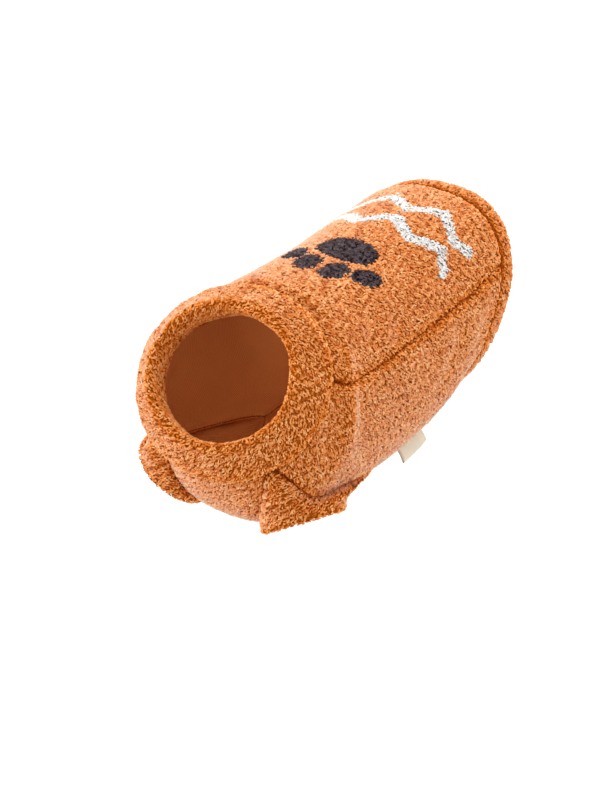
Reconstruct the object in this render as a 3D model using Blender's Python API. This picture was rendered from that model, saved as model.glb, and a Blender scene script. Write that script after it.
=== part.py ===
"""A small dog's pullover in looped-pile knit, in the hollow form that it has when worn.

The body is four panels: a back, two sides and a belly that runs up between the sleeves to the
throat. Two short sleeves, a folded collar, a hem band and a small side tag are sewn to them.

The file works in metres and names its sizes in millimetres, times MM. +Z is up, the neck points
to -Y and the wearer's left is +X. The origin is on the inner face of the back, over the spine.

The outer face of the body is one surface: body_point(station, angle) runs through the slanted
rings of SECTIONS. Every seam is a line on that surface, so neighbouring pieces follow each other
all along it and stay SEAM_GAP apart.
"""

import bmesh
import bpy
import numpy as np
from mathutils import Matrix

MM = 0.001

# Cloth
WALL = 7.0  # knitted ground and its pile together
SEAM_GAP = 0.3  # clear space between two sewn pieces
SEAM_ROLL = 8.0  # how far from a seam the pile starts to roll down into it
SEAM_SINK = 4.2  # how deep a seam lies under the pile
PILE_COLOUR = (0.80, 0.32, 0.11)
TAPE_COLOUR = (0.78, 0.72, 0.62)

# Rings of the body's outer face. Each is slanted: it passes through its top and its low point.
COLUMNS = ("top_y", "top_z", "low_y", "low_z", "half_width", "flank_y", "square", "back_seam")
SECTIONS = {
    "hem edge": (177, -2, 80, -148, 78, 3, 2.25, 27),
    "hem seam": (157, 2.5, 62, -147, 79, 3, 2.35, 27),
    "loin": (100, 6, 33, -163, 82, 4, 2.2, 26),
    "mid": (45, 5, -6, -168, 82.5, 0, 2.2, 26),
    "ribs": (-14, 7.9, -64, -168, 82, 0, 2.3, 23),
    "shoulder": (-48, 11, -100, -165, 82, 0, 2.3, 22),
    "breast": (-60, 10, -136, -146, 84, 0, 2.45, 21),
    "collar seam": (-71, 6, -161, -96, 75, 0, 2.0, 24),
}
HEM_SEAM = 1.0
COLLAR_SEAM = len(SECTIONS) - 1.0
LEVEL_STATIONS = 0.4  # how far from the collar seam the wall starts to turn level with it

# Seam lines, as angles round the body: 0 is the wearer's left, 90 the spine.
BELLY_SEAM, THROAT_SEAM = -50.0, -46.0  # at the hem and at the collar
ARM_REAR, ARM_FRONT = 3.2, 6.85  # stations where the armhole starts behind and ends at the throat
ARM_UP, ARM_DOWN = 17.0, 22.0  # how far it opens from the belly seam, in degrees
ARM_POINTED = 0.75  # 0.5 would be an ellipse; more makes its two ends pointed

# Sleeves: a cone from the armhole to a round cuff. Left sleeve; the right one mirrors it.
CUFF_CENTRE = (60.0, -114.0, -142.0)
CUFF_AXIS = (0.52, -0.23, -0.82)
CUFF_RADIUS = 34.0
CUFF_ROUND = 2.5  # how far the cuff's rounded edge stands past its centre
SLEEVE_PUFF = 0.5  # how much the sleeve swells out of its seam
SLEEVE_TUCK = 2.5  # how far it draws in on the side between the legs
TUCK_REACHES = 0.2  # how far that goes on past its two points
ROOT_WALL = 4.0  # its wall where it is sewn in
ROOT_LOOKS_IN = 14.0  # how far the inner face's root leans to the armhole's middle
SLEEVE_PARTS = (0, 0.08, 0.22, 0.42, 0.64, 0.84, 0.95, 1.0)
TIP_TURN = 0.12  # how far the sleeve stays off the armhole's two points, in radians
ARM_HALF_GAPS = 2.6  # what its root leaves to the seam line, in half gaps: more where a seam curves

# Collar profile, from the seam ring: out from it and up along the neck.
COLLAR_PROFILE = (
    # out, up
    (-13.0, 0.3),
    (-6.5, 0.3),
    (0.5, 0.4),
    (4.0, -0.6),
    (6.6, 0.9),
    (7.2, 5.0),
    (5.0, 10.5),
    (-0.5, 16.5),
    (-6.0, 22.5),
    (-11.0, 27.5),
    (-15.0, 28.6),
    (-18.3, 25.5),
    (-19.5, 18.0),
    (-18.8, 9.0),
    (-17.0, 3.0),
)

# The largest folds, as lines from one place on the body to another; a negative depth is a ridge.
FOLD_COLUMNS = ("from_station", "from_angle", "to_station", "to_angle", "depth", "width")
FOLDS = {
    "shoulder trough": (6.55, 14, 6.25, -14, 3.4, 9.0),
    "shoulder ridge": (5.95, 13, 5.4, -4, -1.6, 6.0),
    "above the side seam": (4.45, 36, 3.85, 50, 2.4, 7.0),
    "behind the shoulder": (3.75, 31, 3.45, 47, 1.9, 7.0),
    "flank sag": (3.9, 6, 3.0, -22, 2.0, 9.0),
    "loin drag": (2.0, 20, 2.7, -8, 2.0, 9.0),
    "neck pull": (6.5, 30, 5.6, 58, 2.6, 8.0),
    "belly pull": (3.0, -62, 2.4, -84, 2.0, 9.0),
}
FOLD_POINTS = 13  # points along a fold's line
FOLD_ENDS = 0.08  # the part of a fold at each end where it keeps the depth that it has there
FOLD_FADE = 0.7  # under 1 keeps a fold near its full depth for longer

# The side tag: a folded woven tape caught in the left belly seam.
TAG_STATIONS = (1.9, 2.66)
TAG_REACH = 11.5
TAG_THICKNESS = 1.3
TAG_ROOT_DEPTH = 2.2
TAG_BEND = 2.0  # how far its fold hangs below straight
TAG_POINTS = 8  # points along the seam
TAG_OUTWARD = (0, 0.3, 0.6, 0.9, 1.0)  # where it has points, as parts of the way out
TAG_FULLNESS = (1, 1, 1, 1, 0.5)  # how thick it is there: the fold is rounded

# Hem band profile: from the seam towards the edge, and down from the outer face.
HEM_PROFILE = (
    # along, down
    (0.0, 4.5),
    (1.5, 1.8),
    (4.5, 0.3),
    (8.5, 0.0),
    (12.0, 1.2),
    (14.6, 4.6),
    (12.5, 8.2),
    (8.0, 9.0),
    (3.5, 9.0),
    (0.0, 9.0),
)
HEM_WIDTH = 15.0

# Fineness of the meshes
RING_COUNT = 60
BACK_WIDTH, SIDE_WIDTH, BELLY_WIDTH = 185.0, 95.0, 115.0  # about what the panels measure across
ARM_POINTS = 14  # points on each half of the armhole
GRID_STEP = 10.0
SEAM_STEPS = (0, 0.25, 0.6, 1.0)  # where the rolled edge has points, as parts of SEAM_ROLL
SLOPE_ANGLE, SLOPE_STATION = 0.6, 0.03  # how far apart the slopes of the face are measured
STATION_LENGTH = 45.0  # about what one station measures along the body


def unit(vectors):
    return vectors / np.linalg.norm(vectors, axis=-1, keepdims=True)


def section_values(station):
    """A Catmull-Rom curve through each column of SECTIONS; row 0 is at station 0."""
    rows = np.array(list(SECTIONS.values()), float)
    last = len(rows) - 1
    below = np.clip(np.floor(station).astype(int), 0, last - 1)
    part = (station - below)[..., None]
    before, start, end, after = (rows[np.clip(below + k, 0, last)] for k in (-1, 0, 1, 2))
    value = start + 0.5 * part * (
        end - before
        + part * (2 * before - 5 * start + 4 * end - after)
        + part**2 * (3 * start - before - 3 * end + after)
    )
    return dict(zip(COLUMNS, np.moveaxis(value, -1, 0)))


def body_point(station, angle):
    """The outer face: a ring whose height and slant follow sin(angle) and whose width follows cos."""
    station, angle = np.broadcast_arrays(np.asarray(station, float), np.asarray(angle, float))
    row = section_values(station)
    power = 2 / row["square"]
    cosine, sine = np.cos(np.radians(angle)), np.sin(np.radians(angle))
    across = np.sign(cosine) * np.abs(cosine) ** power
    upward = np.sign(sine) * np.abs(sine) ** power
    x = row["half_width"] * across
    y = (row["top_y"] + row["low_y"]) / 2 + upward * (row["top_y"] - row["low_y"]) / 2
    z = (row["top_z"] + row["low_z"]) / 2 + upward * (row["top_z"] - row["low_z"]) / 2
    return np.stack([x, y + row["flank_y"] * across**2, z], axis=-1)


def body_normal(station, angle):
    """The outward normal, from the surface's slopes along the body and round it."""
    around = body_point(station, angle + SLOPE_ANGLE) - body_point(station, angle - SLOPE_ANGLE)
    ahead = np.clip(station + SLOPE_STATION, 0, COLLAR_SEAM)
    behind = np.clip(station - SLOPE_STATION, 0, COLLAR_SEAM)
    forward = body_point(ahead, angle) - body_point(behind, angle)
    return unit(np.cross(around, forward))


def inward(station, angle):
    """The way through the cloth: square to the face, but level with the collar's ring at that end."""
    ring = section_values(np.array(COLLAR_SEAM))
    centre = np.array([0, ring["top_y"] + ring["low_y"], ring["top_z"] + ring["low_z"]]) / 2
    to_centre = unit(centre - body_point(np.full_like(station, COLLAR_SEAM), angle))
    level = np.clip((station - COLLAR_SEAM) / LEVEL_STATIONS + 1, 0, 1)[..., None]
    return unit(to_centre * level - body_normal(station, angle) * (1 - level))


def armhole_opening(station):
    """How open the armhole is at a station: 0 at its two ends, 1 halfway."""
    middle, reach = (ARM_REAR + ARM_FRONT) / 2, (ARM_FRONT - ARM_REAR) / 2
    return np.clip(1 - ((station - middle) / reach) ** 2, 0, 1) ** ARM_POINTED


def belly_seam_angle(station):
    return BELLY_SEAM + (THROAT_SEAM - BELLY_SEAM) * (station / COLLAR_SEAM) ** 2


def side_low_angle(station):
    return belly_seam_angle(station) + ARM_UP * armhole_opening(station)


def belly_edge_angle(station):
    return belly_seam_angle(station) - ARM_DOWN * armhole_opening(station)


def add_piece(name, points, faces, finish):
    """A closed mesh in the scene, its points given in millimetres."""
    mesh = bpy.data.meshes.new(name)
    mesh.from_pydata((points * MM).tolist(), [], faces)
    shell = bmesh.new()
    shell.from_mesh(mesh)
    bmesh.ops.recalc_face_normals(shell, faces=shell.faces)
    bmesh.ops.triangulate(shell, faces=shell.faces)
    shell.to_mesh(mesh)
    shell.free()
    mesh.shade_smooth()
    mesh.materials.append(finish)
    piece = bpy.data.objects.new(name, mesh)
    bpy.context.collection.objects.link(piece)
    return piece


def grid_faces(rows, columns, wrap_rows=False, wrap_columns=False, offset=0):
    row = np.arange(rows if wrap_rows else rows - 1)[:, None]
    column = np.arange(columns if wrap_columns else columns - 1)[None, :]
    next_row, next_column = (row + 1) % rows, (column + 1) % columns
    corners = [
        row * columns + column,
        row * columns + next_column,
        next_row * columns + next_column,
        next_row * columns + column,
    ]
    return (np.stack(corners, axis=-1).reshape(-1, 4) + offset).tolist()


def wall_between(outer, inner):
    """The points and faces of a sheet with thickness: two grids and the strip round their edges."""
    rows, columns = outer.shape[:2]
    count = rows * columns
    index = np.arange(count).reshape(rows, columns)
    rim = np.concatenate([index[0, :-1], index[:-1, -1], index[-1, :0:-1], index[:0:-1, 0]])
    turned = np.roll(rim, -1)
    strip = np.stack([rim, turned, turned + count, rim + count], axis=-1).tolist()
    back = [face[::-1] for face in grid_faces(rows, columns, offset=count)]
    points = np.concatenate([outer.reshape(-1, 3), inner.reshape(-1, 3)])
    return points, grid_faces(rows, columns) + back + strip


def add_ring(name, profiles, finish):
    """A closed profile carried round a ring: profiles[around, along profile]."""
    rows, columns = profiles.shape[:2]
    faces = grid_faces(rows, columns, wrap_rows=True, wrap_columns=True)
    return add_piece(name, profiles.reshape(-1, 3), faces, finish)


def seam_spaced(length):
    """Places from 0 to 1 along a panel, closer together where the pile rolls into its seams."""
    near = np.array(SEAM_STEPS) * SEAM_ROLL / length
    middle = np.linspace(near[-1], 1 - near[-1], round((length - 2 * SEAM_ROLL) / GRID_STEP) + 1)
    return np.concatenate([near[:-1], middle, 1 - near[-2::-1]])


def distance_to_ends(points, axis):
    """For each point of a grid, the length along its row or column to the nearer end."""
    steps = np.linalg.norm(np.diff(points, axis=axis), axis=-1)
    along = np.cumsum(steps, axis=axis)
    along = np.concatenate([np.zeros_like(np.take(along, [0], axis)), along], axis=axis)
    return np.minimum(along, np.take(along, [-1], axis) - along)


def seam_sink(distance):
    """A quarter round: SEAM_SINK at the seam, none from SEAM_ROLL on."""
    part = np.clip(1 - distance / SEAM_ROLL, 0, 1)
    return SEAM_SINK * (1 - np.sqrt(1 - part**2))


def armhole_stations(turns):
    """Stations round the armhole: the throat end at a turn of 0, the rear end at half a turn."""
    return (ARM_REAR + ARM_FRONT) / 2 + np.cos(turns) * (ARM_FRONT - ARM_REAR) / 2


def panel_stations():
    """Stations of the panels' rows, matched to the armhole's points between its two ends."""
    first = HEM_SEAM + SEAM_GAP / STATION_LENGTH
    near_hem = first + np.array(SEAM_STEPS) * SEAM_ROLL / STATION_LENGTH
    behind = np.linspace(near_hem[-1], ARM_REAR, round((ARM_REAR - first) * STATION_LENGTH / GRID_STEP))
    beside = armhole_stations(np.linspace(np.pi, 0, ARM_POINTS + 1))
    return np.concatenate([near_hem[:-1], behind[:-1], beside, [COLLAR_SEAM]])


def fold_depth(points):
    """Depth of the folds at each point: a soft trough round each fold's line, on both sides of the body."""
    beside = np.concatenate([np.abs(points[..., :1]), points[..., 1:]], axis=-1)
    total = np.zeros(points.shape[:-1])
    part = np.linspace(0, 1, FOLD_POINTS)
    fade = np.sin(np.pi * np.clip(part, FOLD_ENDS, 1 - FOLD_ENDS)) ** FOLD_FADE
    for row in FOLDS.values():
        fold = dict(zip(FOLD_COLUMNS, row))
        station = fold["from_station"] + (fold["to_station"] - fold["from_station"]) * part
        angle = fold["from_angle"] + (fold["to_angle"] - fold["from_angle"]) * part
        line = body_point(station, angle)
        apart = np.linalg.norm(beside[..., None, :] - line, axis=-1)
        shape = np.max(fade * np.exp(-((apart / fold["width"]) ** 2)), axis=-1)
        total += fold["depth"] * shape
    return total


def half_gap(station):
    """Half a seam's gap, as an angle round the body."""
    return np.degrees(SEAM_GAP / 2 / section_values(station)["half_width"])


def add_panel(name, low_angle, high_angle, columns, finish):
    """A body panel between two seam lines, given as angles at each station."""
    station = panel_stations()[:, None]
    trim = half_gap(station)
    low, high = low_angle(station) + trim, high_angle(station) - trim
    angle = low + (high - low) * columns[None, :]
    station = np.broadcast_to(station, angle.shape)
    face = body_point(station, angle)
    through = inward(station, angle)
    from_hem = np.cumsum(np.linalg.norm(np.diff(face, axis=0, prepend=face[:1]), axis=-1), axis=0)
    sink = seam_sink(np.minimum(distance_to_ends(face, 1), from_hem))
    sink = np.maximum(sink, np.minimum(fold_depth(face) + sink, SEAM_SINK))
    points, faces = wall_between(face + through * sink[..., None], face + through * WALL)
    return add_piece(name, points, faces, finish)


def add_hem_band(finish):
    angle = np.arange(RING_COUNT)[:, None] * 360 / RING_COUNT
    along, down = np.array(HEM_PROFILE).T
    station = HEM_SEAM - along[None, :] / HEM_WIDTH
    return add_ring(
        "hem_band",
        body_point(station, angle) - body_normal(station, angle) * down[None, :, None],
        finish,
    )


def add_collar(finish):
    """The collar's profile, carried round the slanted ring where it is sewn on."""
    row = section_values(np.array(COLLAR_SEAM))
    top = np.array([0, row["top_y"], row["top_z"]])
    low = np.array([0, row["low_y"], row["low_z"]])
    sideways, upward = np.array([1.0, 0, 0]), unit(top - low)
    neckward = np.cross(sideways, upward)
    turn = np.radians(np.arange(RING_COUNT) * 360 / RING_COUNT)[:, None, None]
    out, up = np.array(COLLAR_PROFILE).T[:, None, :, None]
    rings = (
        (top + low) / 2
        + np.cos(turn) * (row["half_width"] + out) * sideways
        + np.sin(turn) * (np.linalg.norm(top - low) / 2 + out) * upward
        + up * neckward
    )
    return add_ring("collar", rings, finish)


def cuff_directions():
    """The cuff's axis, and the directions to its front and its outer side."""
    axis = unit(np.array(CUFF_AXIS))
    ahead = np.array([0.0, -1.0, 0.0])
    front = unit(ahead - axis * np.dot(axis, ahead))
    return axis, front, np.cross(front, axis)


def hermite(start, leave, end, arrive, part):
    """The cubic from start to end with these slopes at its two ends, at each part of the way."""
    start, leave, end, arrive = (array[:, None] for array in (start, leave, end, arrive))
    part = part[None, :, None]
    return (
        start * (2 * part**3 - 3 * part**2 + 1)
        + leave * (part**3 - 2 * part**2 + part)
        + end * (3 * part**2 - 2 * part**3)
        + arrive * (part**3 - part**2)
    )


def add_sleeve(name, finish):
    """The left sleeve: both faces of its cloth run from the armhole's edge to the round cuff."""
    turns = np.arange(2 * ARM_POINTS) * np.pi / ARM_POINTS
    station = armhole_stations(turns)
    upper = turns < np.pi
    angle = np.where(upper, side_low_angle(station), belly_edge_angle(station))
    angle = angle + np.where(upper, -ARM_HALF_GAPS, ARM_HALF_GAPS) * half_gap(station)
    tips = [0, ARM_POINTS]
    station[tips] = armhole_stations(np.array([TIP_TURN, np.pi - TIP_TURN]))
    angle[tips] = belly_seam_angle(station[tips])
    through = inward(station, angle)
    root = body_point(station, angle) + through * SEAM_SINK
    axis, front, outside = cuff_directions()
    spoke = np.cos(turns)[:, None] * front + np.sin(turns)[:, None] * outside
    parts = np.array(SLEEVE_PARTS)
    between_legs = np.clip(TUCK_REACHES - np.sin(turns), 0, 1)[:, None, None]
    tuck = SLEEVE_TUCK * between_legs * spoke[:, None] * (np.sin(np.pi * parts) ** 2)[:, None]
    sides = []
    for start, cuff_depth in ((root, 0.0), (root + sleeve_depth(root, through, spoke) * ROOT_WALL, WALL)):
        end = np.array(CUFF_CENTRE) + spoke * (CUFF_RADIUS - cuff_depth)
        reach = np.linalg.norm(end - start, axis=-1, keepdims=True)
        leave = end - start - through * reach * SLEEVE_PUFF
        sides.append(hermite(start, leave, end, axis * reach, parts) - tuck)
    edge = np.array(CUFF_CENTRE) + spoke * (CUFF_RADIUS - WALL / 2) + axis * CUFF_ROUND
    return add_ring(name, np.concatenate([sides[0], edge[:, None], sides[1][:, ::-1]], axis=1), finish)


def sleeve_depth(root, through, spoke):
    """Unit directions from the sleeve's outer face to its inner one at the root.

    Each looks across the armhole and a little to its middle, kept square to the line that runs on to the cuff.
    """
    line = unit(np.array(CUFF_CENTRE) + spoke * CUFF_RADIUS - root)
    heart = (root + root[-np.arange(len(root))]) / 2
    heart = heart + unit(root.mean(axis=0) - heart) * ROOT_LOOKS_IN
    across = heart - root
    across = unit(across - np.sum(across * line, axis=-1, keepdims=True) * line)
    inwards = through - np.sum(through * line, axis=-1, keepdims=True) * line
    agree = np.sum(across * inwards, axis=-1, keepdims=True)
    return unit(across + np.clip(agree, 0, 1) * inwards)


def add_tag(name, finish):
    """A thin tape that stands out of the left belly seam, its fold outside."""
    station = np.linspace(*TAG_STATIONS, TAG_POINTS)
    angle = belly_seam_angle(station)
    outward = -inward(station, angle)
    across = unit(body_point(station, angle + 1) - body_point(station, angle - 1))
    part = np.array(TAG_OUTWARD)
    reach = part * (TAG_REACH + TAG_ROOT_DEPTH) - TAG_ROOT_DEPTH
    bend = TAG_BEND * part**2
    middle = (
        body_point(station, angle)[:, None]
        + outward[:, None] * reach[None, :, None]
        - across[:, None] * bend[None, :, None]
    )
    half = across[:, None] * (np.array(TAG_FULLNESS) * TAG_THICKNESS / 2)[None, :, None]
    points, faces = wall_between(middle + half, middle - half)
    return add_piece(name, points, faces, finish)


def add_mirrored(piece, name):
    """The same piece on the wearer's other side."""
    mesh = piece.data.copy()
    mesh.transform(Matrix.Scale(-1, 4, (1, 0, 0)))
    mesh.flip_normals()
    twin = bpy.data.objects.new(name, mesh)
    bpy.context.collection.objects.link(twin)
    return twin


def cloth_finish(name, colour, roughness):
    finish = bpy.data.materials.new(name)
    finish.use_nodes = True
    shader = finish.node_tree.nodes["Principled BSDF"]
    shader.inputs["Base Color"].default_value = (*colour, 1.0)
    shader.inputs["Roughness"].default_value = roughness
    shader.inputs["Metallic"].default_value = 0.0
    return finish


def back_seam_angle(station):
    return section_values(station)["back_seam"]


def far_back_seam_angle(station):
    return 180 - back_seam_angle(station)


def far_belly_edge_angle(station):
    return -180 - belly_edge_angle(station)


def main():
    for leftover in list(bpy.data.objects):
        bpy.data.objects.remove(leftover)
    pile = cloth_finish("orange looped pile", PILE_COLOUR, 0.95)
    tape = cloth_finish("cream woven tape", TAPE_COLOUR, 0.8)

    back_columns = seam_spaced(BACK_WIDTH)
    add_panel("back_panel", back_seam_angle, far_back_seam_angle, back_columns, pile)
    side_columns = seam_spaced(SIDE_WIDTH)
    side = add_panel("side_left", side_low_angle, back_seam_angle, side_columns, pile)
    add_mirrored(side, "side_right")
    belly_columns = seam_spaced(BELLY_WIDTH)
    add_panel("belly_panel", far_belly_edge_angle, belly_edge_angle, belly_columns, pile)

    sleeve = add_sleeve("sleeve_left", pile)
    add_mirrored(sleeve, "sleeve_right")
    add_collar(pile)
    add_hem_band(pile)
    add_tag("side_tag", tape)


main()
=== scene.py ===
# %% [markdown]
# # A small dog's pullover in looped-pile knit
#
# The real pullover is sewn from a thick knit. Its face is a pile of curly loops, and its back is a plain
# knitted ground. It is cut as a back, two sides, a belly, two short sleeves, a folded collar and a hem
# band, and it keeps the hollow, rounded form that it has when a dog wears it.
#
# This lesson builds it in two layers, as the cloth itself is made. First comes the ground: a thin wall for
# each sewn piece, bent and creased over one smooth body surface. Then thousands of small curls are
# set on it. Every surface is a formula on a grid of numbers, so numpy makes each one in a few array steps.

import bpy
import numpy as np
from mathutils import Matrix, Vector


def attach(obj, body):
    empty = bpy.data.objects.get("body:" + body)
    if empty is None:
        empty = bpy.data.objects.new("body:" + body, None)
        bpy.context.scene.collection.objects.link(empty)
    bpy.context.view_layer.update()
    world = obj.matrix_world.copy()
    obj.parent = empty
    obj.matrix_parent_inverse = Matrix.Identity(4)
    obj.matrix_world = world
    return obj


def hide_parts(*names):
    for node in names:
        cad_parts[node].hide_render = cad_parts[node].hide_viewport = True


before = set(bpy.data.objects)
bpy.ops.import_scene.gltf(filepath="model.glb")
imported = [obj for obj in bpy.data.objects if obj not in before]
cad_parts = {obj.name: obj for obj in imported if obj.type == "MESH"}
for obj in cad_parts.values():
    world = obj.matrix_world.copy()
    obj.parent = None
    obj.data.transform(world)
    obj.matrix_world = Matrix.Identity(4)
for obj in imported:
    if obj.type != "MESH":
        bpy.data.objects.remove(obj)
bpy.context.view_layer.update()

MM = 0.001
chance = np.random.default_rng(20)
print("nodes in the frame:", ", ".join(sorted(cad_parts)))

# %% [markdown]
# ## The body's surface
#
# A worn pullover is a tube whose rings are slanted: the back is short and starts behind the neck, and the
# belly reaches further forward. So each ring is given by its highest and its lowest point, its half width,
# and how square it is. A smooth curve through each column of the table gives every ring between them, and
# every seam is a line on this one surface. That is why the sewn pieces meet all along their seams.

# %% Rings of the body, in millimetres
COLUMNS = ("top_y", "top_z", "low_y", "low_z", "half_width", "flank_y", "square", "back_seam")
SECTIONS = {
    "hem edge": (177, -2, 80, -148, 78, 3, 2.25, 27),
    "hem seam": (157, 2.5, 62, -147, 79, 3, 2.35, 27),
    "loin": (100, 6, 33, -163, 82, 4, 2.2, 26),
    "mid": (45, 5, -6, -168, 82.5, 0, 2.2, 26),
    "ribs": (-14, 7.9, -64, -168, 82, 0, 2.3, 23),
    "shoulder": (-48, 11, -100, -165, 82, 0, 2.3, 22),
    "breast": (-60, 10, -136, -146, 84, 0, 2.45, 21),
    "collar seam": (-71, 6, -161, -96, 75, 0, 2.0, 24),
}
HEM_SEAM = 1.0
COLLAR_SEAM = len(SECTIONS) - 1.0
LEVEL_STATIONS = 0.4  # how far from the collar seam the wall starts to turn level with it
SLOPE_ANGLE, SLOPE_STATION = 0.6, 0.03  # how far apart the surface's slopes are measured


def unit(vectors):
    """Each vector divided by its length."""
    return vectors / np.linalg.norm(vectors, axis=-1, keepdims=True)


def smooth_between(rows, at):
    """A Catmull-Rom curve through rows of numbers, at places that are counted in rows."""
    last = len(rows) - 1
    below = np.clip(np.floor(at).astype(int), 0, last - 1)
    part = (at - below)[..., None]
    before, start, end, after = (rows[np.clip(below + k, 0, last)] for k in (-1, 0, 1, 2))
    return start + 0.5 * part * (
        end - before
        + part * (2 * before - 5 * start + 4 * end - after)
        + part**2 * (3 * start - before - 3 * end + after)
    )


def section_values(station):
    """Every column of SECTIONS at a station; its first row is at station 0."""
    value = smooth_between(np.array(list(SECTIONS.values()), float), station)
    return dict(zip(COLUMNS, np.moveaxis(value, -1, 0)))


def body_point(station, angle):
    """The outer face: a superellipse ring. Height and slant follow sin(angle), width follows cos(angle)."""
    station, angle = np.broadcast_arrays(np.asarray(station, float), np.asarray(angle, float))
    row = section_values(station)
    power = 2 / row["square"]
    cosine, sine = np.cos(np.radians(angle)), np.sin(np.radians(angle))
    across = np.sign(cosine) * np.abs(cosine) ** power
    upward = np.sign(sine) * np.abs(sine) ** power
    y = (row["top_y"] + row["low_y"]) / 2 + upward * (row["top_y"] - row["low_y"]) / 2
    z = (row["top_z"] + row["low_z"]) / 2 + upward * (row["top_z"] - row["low_z"]) / 2
    return np.stack([row["half_width"] * across, y + row["flank_y"] * across**2, z], axis=-1)


def body_normal(station, angle):
    """The outward normal: the cross product of the slope round the body and the slope along it."""
    around = body_point(station, angle + SLOPE_ANGLE) - body_point(station, angle - SLOPE_ANGLE)
    ahead = np.clip(station + SLOPE_STATION, 0, COLLAR_SEAM)
    behind = np.clip(station - SLOPE_STATION, 0, COLLAR_SEAM)
    return unit(np.cross(around, body_point(ahead, angle) - body_point(behind, angle)))


def inward(station, angle):
    """The way through the cloth: square to the face, but level with the collar's ring at that end."""
    ring = section_values(np.array(COLLAR_SEAM))
    centre = np.array([0, ring["top_y"] + ring["low_y"], ring["top_z"] + ring["low_z"]]) / 2
    to_centre = unit(centre - body_point(np.full_like(station, COLLAR_SEAM), angle))
    level = np.clip((station - COLLAR_SEAM) / LEVEL_STATIONS + 1, 0, 1)[..., None]
    return unit(to_centre * level - body_normal(station, angle) * (1 - level))


chest = body_point(np.array(4.0), np.linspace(0, 360, 361))
print("girth over the pile at the chest:", round(np.linalg.norm(np.diff(chest, axis=0), axis=1).sum()), "mm")

# %% Seam lines, as angles round the body: 0 is the wearer's left, 90 the spine
BELLY_SEAM, THROAT_SEAM = -50.0, -46.0
ARM_REAR, ARM_FRONT = 3.2, 6.85
ARM_UP, ARM_DOWN = 17.0, 22.0
ARM_POINTED = 0.75


def armhole_opening(station):
    """How open the armhole is at a station: (1 - t^2) raised to a power, 0 at its two ends."""
    middle, reach = (ARM_REAR + ARM_FRONT) / 2, (ARM_FRONT - ARM_REAR) / 2
    return np.clip(1 - ((station - middle) / reach) ** 2, 0, 1) ** ARM_POINTED


def belly_seam_angle(station):
    return BELLY_SEAM + (THROAT_SEAM - BELLY_SEAM) * (station / COLLAR_SEAM) ** 2


def side_low_angle(station):
    return belly_seam_angle(station) + ARM_UP * armhole_opening(station)


def belly_edge_angle(station):
    return belly_seam_angle(station) - ARM_DOWN * armhole_opening(station)


def back_seam_angle(station):
    return section_values(station)["back_seam"]


def mirrored(angle_of):
    """The same seam line on the wearer's other side."""
    return lambda station: 180 - angle_of(station)


# %% [markdown]
# ## Creases
#
# Thick pile hides small wrinkles, so only broad, soft folds show: a trough in front of the shoulder, the
# drag above the side seam, the pull towards the neck. Each one is a line between two places on the body
# with a depth and a width, as a tailor would chalk it. The right side has similar ones a little further
# on, because no two sides of a worn garment crease alike. Cloth is never quite even either, so a sum of
# slow waves lifts and sinks it by a fraction of a millimetre.

# %% Folds
FOLD_COLUMNS = ("from_station", "from_angle", "to_station", "to_angle", "depth", "width")
FOLDS = {
    "shoulder trough": (6.55, 16, 6.2, -16, 4.4, 11.0),
    "shoulder crest": (6.1, 16, 5.95, -20, 1.8, 5.5),
    "shoulder ridge": (5.7, 9, 5.1, -12, -2.6, 8.0),
    "above the side seam": (4.45, 36, 3.85, 50, 3.0, 7.0),
    "behind the shoulder": (3.75, 31, 3.45, 47, 2.4, 7.0),
    "flank sag": (3.9, 6, 3.0, -22, 2.4, 9.0),
    "loin drag": (2.0, 20, 2.7, -8, 2.2, 9.0),
    "neck pull": (6.5, 30, 5.6, 58, 3.2, 8.0),
    "belly pull": (3.0, -62, 2.4, -84, 2.2, 9.0),
    "shoulder pinch": (5.25, 20, 4.9, 4, 1.8, 4.5),
    "low shoulder drag": (4.7, -6, 4.0, -24, 1.6, 6.0),
    "side ripple": (3.2, 22, 2.9, 8, 1.5, 5.5),
    "side ripple behind": (2.5, 24, 2.3, 12, 1.3, 5.5),
    "hem ripple": (1.3, 12, 1.6, -6, 1.5, 6.0),
    "hem ripple below": (1.2, -18, 1.6, -34, 1.6, 6.0),
    "nape dip": (6.6, 82, 6.0, 60, 2.0, 9.0),
    "back ripple": (5.0, 84, 4.6, 66, 1.4, 8.0),
    "breast pull": (6.5, -60, 5.8, -76, 1.8, 7.0),
    "between the legs": (5.4, -74, 4.6, -88, 2.0, 9.0),
}
FOLD_POINTS = 13
FOLD_ENDS = 0.08
FOLD_FADE = 0.7
OTHER_SIDE = (0.14, 3.0, 0.85)  # further on by stations and degrees, and this much as deep
WAVES = 7
WAVE_LENGTHS = (24.0, 60.0)
WAVE_HEIGHT = 0.28


def fold_lines():
    """Every fold as (points, depth, width): a line of points on the left, and its twin on the right."""
    part = np.linspace(0, 1, FOLD_POINTS)
    lines = []
    for row in FOLDS.values():
        fold = dict(zip(FOLD_COLUMNS, row))
        station = fold["from_station"] + (fold["to_station"] - fold["from_station"]) * part
        angle = fold["from_angle"] + (fold["to_angle"] - fold["from_angle"]) * part
        lines.append((body_point(station, angle), fold["depth"], fold["width"]))
        shifted = np.clip(station - OTHER_SIDE[0], HEM_SEAM, COLLAR_SEAM)
        twin = body_point(shifted, 180 - angle - OTHER_SIDE[1])
        lines.append((twin, fold["depth"] * OTHER_SIDE[2], fold["width"]))
    return lines


def fold_depth(points):
    """A bell curve exp(-(d/w)^2) round each fold's line, faded along it by a sine, all added up."""
    fade = np.sin(np.pi * np.clip(np.linspace(0, 1, FOLD_POINTS), FOLD_ENDS, 1 - FOLD_ENDS)) ** FOLD_FADE
    total = np.zeros(points.shape[:-1])
    for line, depth, width in fold_lines():
        apart = np.linalg.norm(points[..., None, :] - line, axis=-1)
        total += depth * np.max(fade * np.exp(-((apart / width) ** 2)), axis=-1)
    return total


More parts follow.
